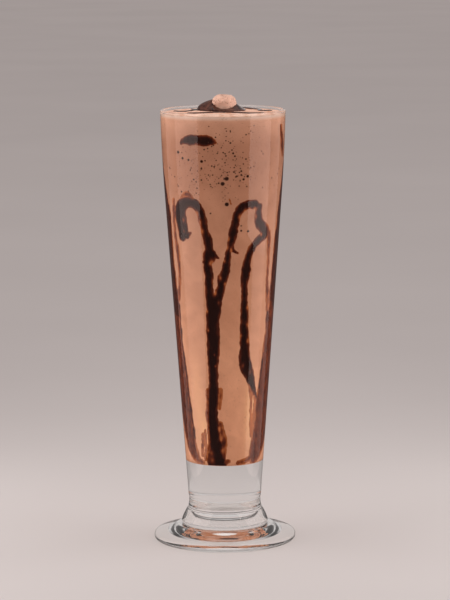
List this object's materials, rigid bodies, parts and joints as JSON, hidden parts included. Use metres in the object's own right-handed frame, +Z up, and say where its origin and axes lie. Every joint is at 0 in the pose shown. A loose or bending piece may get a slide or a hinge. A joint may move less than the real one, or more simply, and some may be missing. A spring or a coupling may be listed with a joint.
{
  "type": "chocolate peanut butter smoothie in a footed glass",
  "caption": "Tall tapered footed glass filled to the rim with a thick chocolate peanut butter smoothie, streaked with chocolate sauce and topped with a frozen lump.",
  "frame": {"origin": "centre of the foot's underside, on the surface that the glass stands on", "axes": "+Z up along the glass's axis, -Y towards the side that the picture shows, +X to that side's right"},
  "size_m": [0.0756, 0.0756, 0.2378],
  "materials": {
    "glass": "clear polished glass",
    "smoothie": "thick milky smoothie with small bubbles, satin",
    "frozen_lump": "matte, finely pitted",
    "chocolate": "glossy dark sauce"
  },
  "bodies": {
    "root": {"glass": "glass", "smoothie": "smoothie", "frozen_lump": "frozen_lump", "chocolate_sauce": "chocolate"}
  },
  "joints": []
}
